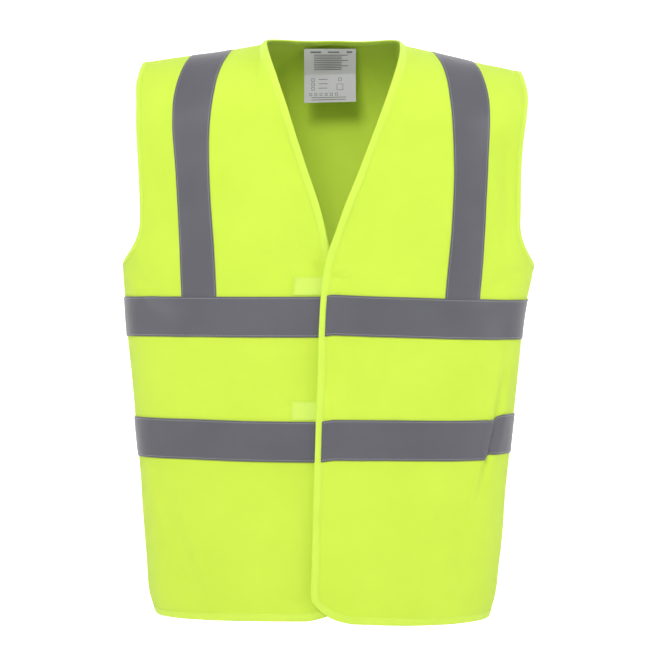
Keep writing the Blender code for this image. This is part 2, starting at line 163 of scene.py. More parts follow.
def soft_noise(points, size, stretch, seed):
    """Smooth noise of about unit height; stretch lengthens its waves along Z."""
    shape = points.shape[:-1]
    flat = points.reshape(-1, 3) / np.array([size, size, size * stretch])
    offset = Vector((seed * 7.1, seed * 3.3, seed * 5.7))
    values = [noise.noise(Vector(p) + offset) for p in flat]
    return np.array(values).reshape(shape)


# Each fold: its two ends, its width and its height, which is negative in a valley.
FOLDS = (
    # from the armpits towards the front
    ((-0.262, -0.055, -0.285), (-0.205, -0.1, -0.345), 0.01, -0.0022),
    ((-0.25, -0.065, -0.315), (-0.18, -0.11, -0.375), 0.012, 0.0014),
    ((0.262, -0.055, -0.285), (0.19, -0.105, -0.325), 0.01, -0.0024),
    ((0.245, -0.07, -0.315), (0.17, -0.112, -0.35), 0.012, 0.0016),
    # beside the left armhole
    ((0.222, -0.085, -0.14), (0.226, -0.085, -0.275), 0.012, -0.0026),
    ((0.205, -0.095, -0.14), (0.206, -0.098, -0.265), 0.012, 0.002),
    # the tuck at the left side, through the lower hoop
    ((0.22, -0.068, -0.425), (0.188, -0.0885, -0.575), 0.006, -0.004),
    ((0.211, -0.0764, -0.425), (0.179, -0.0945, -0.575), 0.006, 0.0022),
    ((0.229, -0.0555, -0.425), (0.199, -0.079, -0.575), 0.008, 0.0008),
    # the pull at the bottom of the V
    ((0.004, -0.125, -0.2985), (0.022, -0.124, -0.3035), 0.004, 0.0022),
    ((0.004, -0.125, -0.3045), (0.024, -0.124, -0.309), 0.0045, -0.0016),
    ((-0.02, -0.124, -0.29), (-0.005, -0.124, -0.303), 0.005, -0.0012),
    # above the front hem
    ((-0.215, -0.085, -0.56), (-0.165, -0.11, -0.7), 0.014, -0.003),
    ((-0.19, -0.1, -0.6), (-0.15, -0.115, -0.715), 0.012, 0.0022),
    ((0.15, -0.115, -0.56), (0.178, -0.105, -0.715), 0.014, -0.003),
    # back
    ((0.262, 0.055, -0.29), (0.17, 0.11, -0.37), 0.014, -0.0045),
    ((-0.262, 0.055, -0.29), (-0.17, 0.11, -0.37), 0.014, -0.0045),
    ((0.06, 0.128, -0.4), (0.085, 0.13, -0.7), 0.02, -0.0035),
    ((-0.085, 0.128, -0.38), (-0.06, 0.13, -0.7), 0.02, -0.0035),
    ((-0.15, 0.118, -0.56), (-0.14, 0.12, -0.72), 0.016, 0.003),
    ((0.14, 0.12, -0.6), (0.15, 0.118, -0.72), 0.016, 0.003),
)

RUN_STEP = 0.003    # distance between the grid's rows
RUN_PAD = 4    # rows before the shoulder line
TURN_COUNT = 600
RISE_DEPTH = 0.25    # depth at which a hoop is level
SIDE_LEAN = ((0, 0.05, 0.1, 0.235, 0.28, 0.34, 0.5, LENGTH),
             (0.003, 0.003, 0, 0, -0.002, -0.0058, -0.007, -0.0105))
MIDDLE_LEAN = ((0, 0.25, 0.3, 0.45, LENGTH), (0.004, 0.001, -0.003, -0.0065, -0.0105))
LEAN_SPREAD = 0.12


def shoulder_rise(x):
    """Height of the shoulder line over the neck points; the two shoulders hang a little differently."""
    outer_slope = SHOULDER_SLOPE + SLOPE_DIFFERENCE * np.tanh(x / 0.1)
    slope = np.where(np.abs(x) < NECK_HALF, NECK_SLOPE, outer_slope)
    rise = slope * (math.hypot(NECK_HALF, NECK_ROUND) - np.hypot(x, NECK_ROUND))
    rise = rise - NECK_STAND * ease((np.abs(x) - NECK_HALF + 0.003) / 0.01)
    rise = rise - 0.001 * ease(x / 0.06) + 0.002 * ease((x - 0.17) / 0.06)
    return rise - 0.0018 * np.exp(-((x + 0.147) / 0.035) ** 2)


def hoop_points(run):
    """One closed hoop of the smooth surface, front centre in the middle of the row."""
    turns = -1 + 2 * np.arange(TURN_COUNT) / TURN_COUNT
    if run < 0:
        turns = np.where(turns < 0, -1, 1) * (1 - np.abs(turns))
        run = -run
    share, xs, ys = section(round(run, 5))
    part = np.minimum(np.abs(turns), 1 - np.abs(turns))
    x = np.sign(turns) * np.interp(part, share, xs)
    y = np.interp(part, share, ys) * np.where(np.abs(turns) > 0.5, -1, 1)
    depth = float(depth_of(run))
    z = shoulder_rise(x) * (1 - ease(depth / RISE_DEPTH)) - depth
    side_lean, middle_lean = curve(depth, *SIDE_LEAN), curve(depth, *MIDDLE_LEAN)
    lean = side_lean + (middle_lean - side_lean) * np.exp(-(x / LEAN_SPREAD) ** 2)
    return np.stack([x + lean, y, z], axis=-1)


def slopes_of(grid):
    """Central differences of the grid along turn and along run, and its outward normals."""
    along = (np.roll(grid, -1, axis=1) - np.roll(grid, 1, axis=1)) * TURN_COUNT / 4
    down = np.gradient(grid, RUN_STEP, axis=0)
    return along, down, unit(np.cross(down, along))


TUCK_X, TUCK_Z, TUCK_SLOPE = 0.19, -0.53, 0.3    # a point of the crease, and its dx for each dz
TUCK_WIDTH, TUCK_RISE = 0.012, 0.0062


def tuck(points):
    """Rise of the cloth past the crease at the left side, where the lower hoop steps up."""
    x, y, z = np.moveaxis(points, -1, 0)
    past = x - (TUCK_X + (z - TUCK_Z) * TUCK_SLOPE)
    span = ease((z + 0.66) / 0.1) * ease((-0.38 - z) / 0.07)
    return TUCK_RISE * ease(past / TUCK_WIDTH) * span * (y < 0.03) * ease((0.03 - y) / 0.05)


# A row of rises for each depth, a column for each x.
SAG_X = (-0.25, -0.17, -0.1, -0.04, -0.013, 0.003, 0.05, 0.1, 0.15, 0.2)
SAG_DEPTHS = (0.24, 0.35, 0.51, LENGTH)
SAG_RISES = (
    (0, 0, 0, 0, 0, 0, 0, 0, 0, 0),
    (0.0016, 0.0013, 0.0008, 0.0009, 0.0009, 0.0038, 0.0015, 0, -0.0018, -0.003),
    (0.0025, 0.0021, 0.0002, -0.0006, -0.0008, 0.0019, 0.0018, 0.0009, -0.0001, 0),
    (0.0004, 0.001, 0.0017, 0.002, 0.002, 0, -0.0016, -0.0042, -0.0047, -0.004),
)


def sag(points):
    """Small rise or drop of each front: the left one is pulled up at its edge where it closes."""
    x, y, z = np.moveaxis(points, -1, 0)
    rows = [np.interp(x, SAG_X, rises) for rises in SAG_RISES]
    total = np.zeros_like(x)
    for k, row in enumerate(rows):
        weight = np.interp(-z, SAG_DEPTHS, np.eye(len(rows))[k])
        total += row * ease(weight)
    return total * ease((0.02 - y) / 0.06)


def build_surface():
    """Smooth hoops, then folds and gentle waviness along their normals, calmer near the shoulders."""
    rows = int(math.ceil(run_of(LENGTH + 0.03) / RUN_STEP)) + RUN_PAD
    smooth = np.stack([hoop_points((k - RUN_PAD) * RUN_STEP) for k in range(rows)])
    _, _, normal = slopes_of(smooth)
    height = -0.0032 * soft_noise(smooth, 0.115, 1.9, 1) - 0.0011 * soft_noise(smooth, 0.045, 1.6, 2)
    for start, end, width, rise in FOLDS:
        height = height + crease(smooth, start, end, width, rise)
    calm = ease(np.abs(smooth[..., 2]) / 0.1) * 0.75 + 0.25
    grid = smooth + normal * (height * calm)[..., None]
    grid[..., 2] += tuck(smooth) + sag(smooth)
    return grid, *slopes_of(grid)


GRID, ALONG, DOWN, NORMAL = build_surface()


def cubic_weights(t):
    return np.stack([-t + 2 * t ** 2 - t ** 3, 2 - 5 * t ** 2 + 3 * t ** 3,
                     t + 4 * t ** 2 - 3 * t ** 3, -t ** 2 + t ** 3], axis=-1) / 2


def read_grid(grid, turn, run):
    """Smooth lookup of a grid at arrays of (turn, run)."""
    turn = (np.asarray(turn, float) + 1) % 2 - 1
    run = np.asarray(run, float)
    turn, run = np.broadcast_arrays(turn, run)
    over = run < 0
    turn = np.where(over, np.where(turn < 0, -1, 1) * (1 - np.abs(turn)), turn)
    fu = (turn + 1) / 2 * TURN_COUNT
    fv = np.clip(np.abs(run) / RUN_STEP + RUN_PAD, 1, grid.shape[0] - 3)
    iu, iv = np.floor(fu).astype(int), np.floor(fv).astype(int)
    wu, wv = cubic_weights(fu - iu), cubic_weights(fv - iv)
    total = 0
    for a in range(4):
        for b in range(4):
            cell = grid[iv + a - 1, (iu + b - 1) % TURN_COUNT]
            total = total + cell * (wv[..., a] * wu[..., b])[..., None]
    return total


def place(turn, run, height):
    """Points at a height above the garment surface."""
    normal = unit(read_grid(NORMAL, turn, run))
    return read_grid(GRID, turn, run) + normal * np.asarray(height, float)[..., None]


def walk(turn, run, way, distance):
    """(turn, run) after going a distance along a 3D way that lies in the surface."""
    flip = np.where(np.asarray(run) < 0, -1.0, 1.0)
    along = read_grid(ALONG, turn, run) * flip[..., None]
    down = read_grid(DOWN, turn, run) * flip[..., None]
    aa, dd, ad = (np.sum(p * q, -1) for p, q in ((along, along), (down, down), (along, down)))
    wa, wd = np.sum(way * along, -1), np.sum(way * down, -1)
    det = aa * dd - ad * ad + 1e-12
    return turn + distance * (wa * dd - wd * ad) / det, run + distance * (wd * aa - wa * ad) / det


# ---- outlines
# The V's edges, then how far each edge passes the centre below it.
V_DEPTHS = (0, 0.011, 0.06, 0.1, 0.1414, 0.18, 0.218, V_DEPTH)
V_EDGES = {1: (NECK_HALF, 0.0856, 0.075, 0.0619, 0.0462, 0.031, 0.016, 0),
           -1: (NECK_HALF, 0.0838, 0.0695, 0.0564, 0.0437, 0.0305, 0.0163, 0)}
LEFT_LAP, LEFT_LAP_FADE, LEFT_LAP_SLANT = 0.0062, 0.035, 0.016
RIGHT_LAP, RIGHT_LAP_FADE = 0.02, 0.055


def edge_x(side, run):
    """x of a front's free edge: the V, then the lap past the centre."""
    depth = float(depth_of(run))
    if depth < V_DEPTH:
        return side * float(curve(depth, V_DEPTHS, V_EDGES[side]))
    past = depth - V_DEPTH
    if side > 0:
        return -LEFT_LAP * (1 - math.exp(-past / LEFT_LAP_FADE)) - LEFT_LAP_SLANT * past
    return RIGHT_LAP * (1 - math.exp(-past / RIGHT_LAP_FADE))


def fold_x(depth):
    """Distance from the centre of the line on which each front opens."""
    share = np.clip((depth - CROWN_HEIGHT) / (LENGTH - CROWN_HEIGHT), 0, 1)
    return FOLD_TOP_X + (FOLD_BOTTOM_X - FOLD_TOP_X) * share


def armhole_turn(side, run):
    """Turn of a front's armhole edge, or of its side seam below the armhole."""
    depth = float(depth_of(run))
    if depth >= ARMPIT:
        return side * 0.5
    x = float(curve(depth, ARMHOLE_DEPTHS, ARMHOLE_X))
    rise = min((ARMPIT - depth) / ARMHOLE_ROUND, 1.0)
    opened = math.sqrt(1 - (1 - rise) ** 2)
    return side * (0.5 - (0.5 - turn_at(x, run)) * opened)


def corner_inset(side, run):
    """How far a front's rounded lower corner pulls its edge back."""
    width, height = CORNER_SIZES[side]
    into = min(max(1 - (LENGTH - float(depth_of(run))) / height, 0.0), 1.0)
    return width * (1 - math.sqrt(1 - into ** 2))


def lap_lift(side, turn, run):
    """Height of the left front over the right one; none at the fold and near the neck."""
    if side < 0:
        return np.zeros(np.broadcast(turn, run).shape)
    x = read_grid(GRID, turn, run)[..., 0]
    depth = depth_of(np.abs(run))
    return LAP_LIFT * ease((fold_x(depth) - x) / 0.05) * ease((depth - 0.15) / 0.08)


def turn_shift(run, distance):
    """Change of turn for a distance along a hoop."""
    return distance / np.linalg.norm(read_grid(ALONG, np.array([0.1]), np.array([run])))


# Runs of the cloths' rows, closer together where the outline turns quickly.
CROWN_RUNS = np.array([0.0008, 0.004, 0.008] + [0.0125 + 0.0045 * k for k in range(38)])
ARM_DEPTHS = np.sort(ARMPIT - ARMHOLE_ROUND * np.linspace(1, 0, 20) ** 2)
UPPER_RUNS = np.concatenate([CROWN_RUNS, run_of(np.arange(0.112, ARMPIT - ARMHOLE_ROUND, 0.0045)),
                             run_of(ARM_DEPTHS)])
CORNER_TOP = LENGTH - CORNER_SIZES[1][1]
LOWER_RUNS = run_of(np.concatenate([np.linspace(ARMPIT + 0.004, CORNER_TOP, 96),
                                    LENGTH - (LENGTH - CORNER_TOP) * np.linspace(0.95, 0, 14) ** 2]))
ALL_RUNS = np.concatenate([UPPER_RUNS, LOWER_RUNS])


def front_rows(side, runs, columns, skip=0.0):
    """(turn, run) grid of a front from its free edge to the armhole or the side seam."""
    turns = []
    for run in runs:
        start = turn_at(edge_x(side, run), run) + side * turn_shift(run, corner_inset(side, run) + skip)
        turns.append(np.linspace(start, armhole_turn(side, run), columns))
    turns = np.array(turns)
    return turns, np.repeat(np.asarray(runs)[:, None], columns, axis=1)


NECK_BLEND = 0.14    # run over which the back's rows go from the neck's curve to level
NECK_COLUMNS, SIDE_COLUMNS = 22, 38


def back_rows(runs):
    """(turn, run) grid of the back, from the left edge round to the right one."""
    angles = np.linspace(math.pi / 2, 0, NECK_COLUMNS)
    turn_rows, run_rows = [], []
    for run in runs:
        tops = NECK_DROP * np.sin(angles) ** 2
        here = np.where(run < NECK_BLEND, tops + run / NECK_BLEND * (NECK_BLEND - tops), run)
        inner = [1 - turn_at(max(NECK_HALF * math.cos(a), 1e-6), r) for a, r in zip(angles, here)]
        outer = np.linspace(inner[-1], 1 - armhole_turn(1, run), SIDE_COLUMNS)[1:]
        half = np.concatenate([inner, outer])
        half_run = np.concatenate([here, np.full(SIDE_COLUMNS - 1, run)])
        turn_rows.append(np.concatenate([half[::-1], 2 - half[1:]]))
        run_rows.append(np.concatenate([half_run[::-1], half_run[1:]]))
    return np.array(turn_rows), np.array(run_rows)


# ---- mesh makers
def add_object(name, verts, faces, mat, uvs=None, smooth=True):
    mesh = bpy.data.meshes.new(name)
    mesh.from_pydata(np.asarray(verts).tolist(), [], faces)
    if uvs is not None:
        layer = mesh.uv_layers.new(name="cloth")
        loops = np.empty(len(mesh.loops), int)
        mesh.loops.foreach_get("vertex_index", loops)
        layer.data.foreach_set("uv", np.asarray(uvs)[loops].astype(np.float32).ravel())
    mesh.validate()
    mesh.update()
    if smooth:
        mesh.shade_smooth()
        mesh.set_sharp_from_angle(angle=math.radians(50))
    mesh.materials.append(mat)
    piece = bpy.data.objects.new(name, mesh)
    bpy.context.collection.objects.link(piece)
    return piece


def grid_faces(rows, columns, base, flip):
    faces = []
    for i in range(rows - 1):
        for j in range(columns - 1):
            a = base + i * columns + j
            quad = (a, a + 1, a + columns + 1, a + columns)
            faces.append(quad[::-1] if flip else quad)
    return faces


UV_HALF_GIRTH = 0.65    # metres of cloth for a turn of 1, in its UVs


def shell_mesh(name, inner, outer, mat, uv):
    """Closed thin sheet between two (rows, columns, 3) grids of points."""
    rows, columns = inner.shape[:2]
    size = rows * columns
    probe = np.cross(outer[0, 1] - outer[0, 0], outer[1, 0] - outer[0, 0])
    outside = np.dot(probe, outer[0, 0] - inner[0, 0]) > 0
    faces = grid_faces(rows, columns, 0, outside) + grid_faces(rows, columns, size, not outside)
    rim = list(range(columns)) + [i * columns + columns - 1 for i in range(1, rows)]
    rim += [(rows - 1) * columns + j for j in range(columns - 2, -1, -1)]
    rim += [i * columns for i in range(rows - 2, 0, -1)]
    for a, b in zip(rim, rim[1:] + rim[:1]):
        quad = (a, b, b + size, a + size)
        faces.append(quad if outside else quad[::-1])
    verts = np.concatenate([inner.reshape(-1, 3), outer.reshape(-1, 3)])
    return add_object(name, verts, faces, mat, np.concatenate([uv, uv]))


def sheet_mesh(name, turn, run, low, thick, mat, inner_mat=None):
    """Thin sheet over a grid of places, with its own material on the inner face if given."""
    low = np.broadcast_to(np.asarray(low, float), turn.shape)
    uv = np.stack([turn.ravel() * UV_HALF_GIRTH, run.ravel()], axis=-1)
    sheet = shell_mesh(name, place(turn, run, low), place(turn, run, low + thick), mat, uv)
    if inner_mat is not None:
        sheet.data.materials.append(inner_mat)
        rows, columns = turn.shape
        for face in sheet.data.polygons[:(rows - 1) * (columns - 1)]:
            face.material_index = 1
    return sheet


class Path:
    """A line on the garment in even steps, with its normals and the ways into the cloth."""

    def __init__(self, turn, run, lift, side, step=0.004):
        turn, run = np.asarray(turn, float), np.asarray(run, float)
        lift = np.broadcast_to(np.asarray(lift, float), turn.shape)
        gone = distances_along(place(turn, run, lift))
        count = max(int(round(gone[-1] / step)), 2)
        self.gone = np.linspace(0, gone[-1], count + 1)
        self.turn = np.interp(self.gone, gone, turn)
        self.run = np.interp(self.gone, gone, run)
        self.lift = np.interp(self.gone, gone, lift)
        way = unit(np.gradient(place(self.turn, self.run, self.lift), axis=0))
        self.normal = unit(read_grid(NORMAL, self.turn, self.run))
        self.inward = unit(np.cross(self.normal, way) * side)

    def offset(self, distance, height):
        """Points at a distance into the cloth and a height above it."""
        turn, run = walk(self.turn, self.run, self.inward, distance)
        return place(turn, run, self.lift + height)


def strip_mesh(name, path, profile, mat):
    """Sweep a closed profile of (distance, height) along a path."""
    rings = np.stack([path.offset(d, h) for d, h in profile], axis=1)
    stations, count = rings.shape[:2]
    faces = []
    for i in range(stations - 1):
        for j in range(count):
            k = (j + 1) % count
            faces.append((i * count + j, (i + 1) * count + j, (i + 1) * count + k, i * count + k))
    faces.append(tuple(range(count)))
    faces.append(tuple(range((stations - 1) * count + count - 1, (stations - 1) * count - 1, -1)))
    girth = distances_along(np.array(profile))
    uv = np.stack(np.broadcast_arrays(girth[None, :], path.gone[:, None]), axis=-1).reshape(-1, 2)
    piece = add_object(name, rings.reshape(-1, 3), faces, mat, uv)
    return mend_normals(piece)


def mend_normals(piece):
    bm = bmesh.new()
    bm.from_mesh(piece.data)
    bmesh.ops.recalc_face_normals(bm, faces=bm.faces)
    bm.to_mesh(piece.data)
    bm.free()
    return piece


STITCH_PITCH, STITCH_LENGTH, THREAD_RADIUS = 0.0034, 0.0026, 0.00028
STITCH_RISE = 0.0001    # height of a line of stitches over the face that it lies on
THREAD_RING = ((1, 0), (0.3, 0.9), (-0.3, 0.9), (-1, 0), (0, -0.8))


def stitches(paths, name, mat):
    """Thread stitches along lines. paths holds (path, distance, height) triples."""
    verts, faces = [], []
    for path, distance, height in paths:
        line = path.offset(distance, height)
        gone = distances_along(line)
        for start in np.arange(STITCH_PITCH * 0.5, gone[-1] - STITCH_LENGTH, STITCH_PITCH):
            spots = start + STITCH_LENGTH * np.array([0, 0.22, 0.78, 1])
            centre = np.stack([np.interp(spots, gone, line[:, k]) for k in range(3)], axis=-1)
            at = int(np.searchsorted(gone, start))
            normal = path.normal[min(at, len(path.normal) - 1)]
            across = np.cross(unit(centre[3] - centre[0]), normal)
            centre[[0, 3]] -= normal * THREAD_RADIUS * 1.2
            base = len(verts)
            verts.append(centre[0])
            for mid in (centre[1], centre[2]):
                for a, b in THREAD_RING:
                    verts.append(mid + across * a * THREAD_RADIUS + normal * b * THREAD_RADIUS)
            verts.append(centre[3])
            for j in range(5):
                k = (j + 1) % 5
                faces.append((base, base + 1 + k, base + 1 + j))
                faces.append((base + 1 + j, base + 1 + k, base + 6 + k, base + 6 + j))
                faces.append((base + 6 + j, base + 6 + k, base + 11))
    return mend_normals(add_object(name, verts, faces, mat))


# ---- materials
KNIT_PAINTED_GLOW = 0.004    # strength of the painted glow that stands in for the dyed cloth's fluorescence; it shines even where no light falls


class Nodes:
    """A material's node tree, with short ways to add and link nodes."""

    def __init__(self, name, colour, roughness, sheen=0.0, specular=0.5):
        self.mat = bpy.data.materials.new(name)
        self.mat.use_nodes = True
        self.tree = self.mat.node_tree
        self.shader = self.tree.nodes["Principled BSDF"]
        for key, value in (("Base Color", (*colour, 1)), ("Roughness", roughness), ("Sheen Weight", sheen),
                           ("Sheen Roughness", 0.5), ("Specular IOR Level", specular)):
            self.shader.inputs[key].default_value = value

    def add(self, kind, **values):
        node = self.tree.nodes.new(kind)
        for key, value in values.items():
            setattr(node, key, value)
        return node

    def link(self, source, target):
        self.tree.links.new(source, target)

    def feed(self, slot, value):
        """Give a socket a number, a colour or another node's output."""
        if isinstance(value, (int, float)):
            slot.default_value = value
        elif isinstance(value, tuple):
            slot.default_value = (*value, 1)
        else:
            self.link(value, slot)

    def math(self, operation, *values):
        node = self.add("ShaderNodeMath", operation=operation)
        for slot, value in zip(node.inputs, values):
            self.feed(slot, value)
        return node.outputs[0]

    def cloth_uv(self):
        uv = self.add("ShaderNodeUVMap", uv_map="cloth")
        split = self.add("ShaderNodeSeparateXYZ")
        self.link(uv.outputs[0], split.inputs[0])
        return split.outputs[0], split.outputs[1]

    def object_place(self):
        return self.add("ShaderNodeTexCoord").outputs["Object"]

    def noise(self, scale, detail=3.0, rough=0.55):
        texture = self.add("ShaderNodeTexNoise")
        for name, value in (("Scale", scale), ("Detail", detail), ("Roughness", rough)):
            texture.inputs[name].default_value = value
        self.link(self.object_place(), texture.inputs["Vector"])
        return texture.outputs["Fac"]

    def ramp(self, fac, dark, light, low=0.0, high=1.0):
        node = self.add("ShaderNodeValToRGB")
        node.color_ramp.elements[0].position = low
        node.color_ramp.elements[1].position = high
        node.color_ramp.elements[0].color = (*dark, 1)
        node.color_ramp.elements[1].color = (*light, 1)
        self.link(fac, node.inputs[0])
        return node.outputs[0]

    def mix(self, kind, fac, first, second):
        node = self.add("ShaderNodeMix", data_type="RGBA", blend_type=kind)
        for index, value in ((0, fac), (6, first), (7, second)):
            self.feed(node.inputs[index], value)
        return node.outputs[2]

    def bump(self, height, distance, strength=1.0, before=None):
        node = self.add("ShaderNodeBump")
        node.inputs["Distance"].default_value = distance
        node.inputs["Strength"].default_value = strength
        self.link(height, node.inputs["Height"])
        if before is not None:
            self.link(before, node.inputs["Normal"])
        return node.outputs[0]

    def colour(self, output):
        self.link(output, self.shader.inputs["Base Color"])

    def normal(self, output):
        self.link(output, self.shader.inputs["Normal"])

    def glow(self, colour, strength):
        self.shader.inputs["Emission Color"].default_value = (*colour, 1)
        self.shader.inputs["Emission Strength"].default_value = strength


def wave(nodes, axis, pitch, phase=None):
    """Sine from -1 to 1 along a UV axis, one period per pitch."""
    angle = nodes.math("MULTIPLY", axis, 2 * math.pi / pitch)
    if phase is not None:
        angle = nodes.math("ADD", angle, phase)
    return nodes.math("SINE", angle)


def knit_material(name="hi_vis_knit", share=1.0):
    """Fluorescent warp knit: fine wales with zigzag loops. share darkens the whole cloth; below 1 it gives a
    copy with painted shade.
    """
    n = Nodes(name, (0.53 * share, 0.72 * share, 0.06 * share), 0.82, sheen=0.1 * share, specular=0.25)
    u, v = n.cloth_uv()
    zigzag = n.math("MULTIPLY", wave(n, v, 0.0016), 1.1)
    wales = wave(n, u, 0.0013, zigzag)
    courses = wave(n, v, 0.0008)
    loops = n.math("ADD", n.math("MULTIPLY", wales, 0.6), n.math("MULTIPLY", courses, 0.4))
    level = n.math("ADD", n.math("MULTIPLY", loops, 0.5), 0.5)
    weave = n.ramp(level, (0.495, 0.675, 0.044), (0.56, 0.755, 0.068), 0.05, 0.8)
    dull, clear = (0.955 * share, 0.965 * share, 0.9 * share), (share, share, share)
    cloudy = n.ramp(n.noise(9, 4), dull, clear, 0.35, 0.65)
    n.colour(n.mix("MULTIPLY", 1.0, weave, cloudy))
    crumple = n.bump(n.noise(26, 5, 0.5), 0.004, 0.3)
    n.normal(n.bump(loops, 0.00022, 0.6, crumple))
    # painted glow, standing in for the dye's fluorescence
    n.glow((0.62, 0.85, 0.07), KNIT_PAINTED_GLOW)
    return n.mat


def binding_material():
    """Woven binding tape: fine twill with a slightly greener tone."""
    n = Nodes("edge_binding", (0.53, 0.72, 0.07), 0.76, sheen=0.1, specular=0.25)
    u, v = n.cloth_uv()
    twill = wave(n, n.math("ADD", u, v), 0.0009)
    ribs = wave(n, v, 0.0007)
    level = n.math("ADD", n.math("MULTIPLY", n.math("ADD", twill, ribs), 0.25), 0.5)
    n.colour(n.ramp(level, (0.49, 0.67, 0.055), (0.56, 0.75, 0.082), 0.1, 0.8))
    puckers = n.bump(n.noise(160, 2), 0.0012, 0.35)
    n.normal(n.bump(level, 0.0002, 0.6, puckers))
    # painted glow, standing in for the dye's fluorescence
    n.glow((0.62, 0.85, 0.08), KNIT_PAINTED_GLOW)
    return n.mat


def tape_material():
    """Grey glass-bead tape: tiny beads in the sheen, faint wrinkles in the film."""
    n = Nodes("reflective_tape", (0.092, 0.09, 0.106), 0.5, sheen=0.16, specular=0.3)
    tone = n.ramp(n.noise(14, 3), (0.084, 0.083, 0.097), (0.097, 0.095, 0.112), 0.3, 0.7)
    grain = n.ramp(n.noise(2600, 1), (0.86, 0.86, 0.87), (1.0, 1.0, 1.0), 0.3, 0.6)
    n.colour(n.mix("MULTIPLY", 1.0, tone, grain))
    film = n.bump(n.noise(34, 4, 0.5), 0.003, 0.28)
    n.normal(n.bump(n.noise(1900, 1), 0.00012, 0.5, film))
    n.shader.inputs["Coat Weight"].default_value = 0.12
    n.shader.inputs["Coat Roughness"].default_value = 0.45
    return n.mat


def thread_material(name, colour):
    n = Nodes(name, colour, 0.6, sheen=0.2, specular=0.3)
    shade = tuple(0.8 * c for c in colour)
    n.colour(n.ramp(n.noise(900, 2), shade, colour, 0.3, 0.7))
    return n.mat


def pile_material(name, dark, light, scale):
    """Hook or loop tape: a dense field of tiny loops or hooks."""
    n = Nodes(name, light, 0.85, sheen=0.35, specular=0.2)
    pile = n.noise(scale, 3, 0.7)
    n.colour(n.ramp(pile, dark, light, 0.3, 0.62))
    n.normal(n.bump(pile, 0.0007, 0.8))
    # painted glow, standing in for the dye's fluorescence
    n.glow((0.55, 0.85, 0.1), KNIT_PAINTED_GLOW)
    return n.mat


def label_material():
    n = Nodes("label_satin", (0.5, 0.5, 0.48), 0.45, sheen=0.2, specular=0.4)
    u, v = n.cloth_uv()
    threads = n.math("MULTIPLY", wave(n, u, 0.0006), wave(n, v, 0.0005))
    n.colour(n.ramp(threads, (0.51, 0.49, 0.54), (0.57, 0.55, 0.6)))
    n.normal(n.bump(threads, 0.0001, 0.4))
    return n.mat


def ink_material():
    n = Nodes("label_ink", (0.1, 0.1, 0.11), 0.6)
    n.colour(n.ramp(n.noise(700, 2), (0.09, 0.09, 0.1), (0.15, 0.15, 0.16), 0.3, 0.7))
    return n.mat


KNIT = knit_material()
# darker copy of the knit for the inner faces: painted shade, as the real cloth is the same colour inside
KNIT_PAINTED_SHADE = knit_material("hi_vis_knit_painted_shade", 0.84)
BINDING = binding_material()
TAPE = tape_material()
YELLOW_THREAD = thread_material("yellow_thread", (0.53, 0.72, 0.08))
GREY_THREAD = thread_material("grey_thread", (0.4, 0.4, 0.42))
LOOP = pile_material("loop_tape", (0.5, 0.69, 0.08), (0.57, 0.745, 0.115), 1500.0)
HOOK = pile_material("hook_tape", (0.45, 0.62, 0.07), (0.56, 0.75, 0.12), 1100.0)
SATIN = label_material()
INK = ink_material()


# ---- the joints, and how the pieces are tied to the bodies
JOINTS = {joint["name"]: joint for joint in frame["record"]["behaviour"]["joints"]}


def bend_front(piece, side):
    """Works out the front's fold axis and the way towards its edge, then only bakes the piece's transform;
    the piece does not turn with the front.
    """
    word = SIDES[side]
    joint = JOINTS[f"{word}_front_open"]
    axis = Vector(joint["axis"]) * side
    towards_edge = axis.cross(Vector((0, 1, 0))).normalized()
    if towards_edge.x * side > 0:
        towards_edge = -towards_edge
    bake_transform(piece)


def attach(pieces, side=None, body="vest_body"):
    """Pieces on a side only have their transform baked; pieces without a side ride a body."""
    for piece in pieces:
        if side is None:
            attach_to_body(piece, body)
        else:
            bend_front(piece, side)


def add_fronts():
    for side, word in SIDES.items():
        turn, run = front_rows(side, ALL_RUNS, 62)
        low = lap_lift(side, turn, run)
        # the inner face gets the knit copy with painted shade
        cloth = sheet_mesh(f"{word}_front_cloth", turn, run, low, PANEL, KNIT, KNIT_PAINTED_SHADE)
        attach([cloth], side)
        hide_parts(f"{word}_front_panel", f"{word}_front_flap")


def add_back():
    turn, run = back_rows(ALL_RUNS)
    # the inner face gets the knit copy with painted shade
    cloth = sheet_mesh("back_cloth", turn, run, 0.0, PANEL, KNIT, KNIT_PAINTED_SHADE)
    attach([cloth])
    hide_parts("back_panel")


# ---- bindings
def bound_profile(width):
    """Folded strip: a puffed outer leg, a round fold at the edge and an inner leg."""
    thick = BINDING_THICK
    top, bottom = PANEL + BINDING_GAP, -BINDING_GAP
    middle, half = (top + bottom) / 2, (top - bottom) / 2 + thick
    outer = [(width, top + thick * 0.35), (width - 0.0007, top + thick * 0.9),
             (width * 0.72, top + thick * 1.25), (width * 0.45, top + thick * 1.5),
             (width * 0.2, top + thick * 1.35)]
    bend = [(0.0003 - half * math.cos(a) * 0.9, middle + half * math.sin(a))
            for a in np.radians((80, 50, 20, -20, -50, -80))]
    inner = [(width * 0.25, bottom - thick), (width - 0.0004, bottom - thick), (width, bottom - thick * 0.5),
             (width, bottom), (width * 0.5, bottom), (0.0004, bottom), (0.0004, top), (width * 0.5, top),
             (width, top)]
    return outer + bend + inner


def front_edge_path(side):
    """From the neck point down the V and the front edge, round the corner, along the hem."""
    runs = np.concatenate([[0.0], ALL_RUNS])
    turns = []
    for run in runs:
        inset = turn_shift(run, corner_inset(side, run))
        turns.append(turn_at(edge_x(side, run), run) + side * inset)
    hem = np.linspace(turns[-1], side * 0.5, 60)[1:]
    turns = np.concatenate([turns, hem])
    runs = np.concatenate([runs, np.full(len(hem), runs[-1])])
    return Path(turns, runs, lap_lift(side, turns, runs), side)


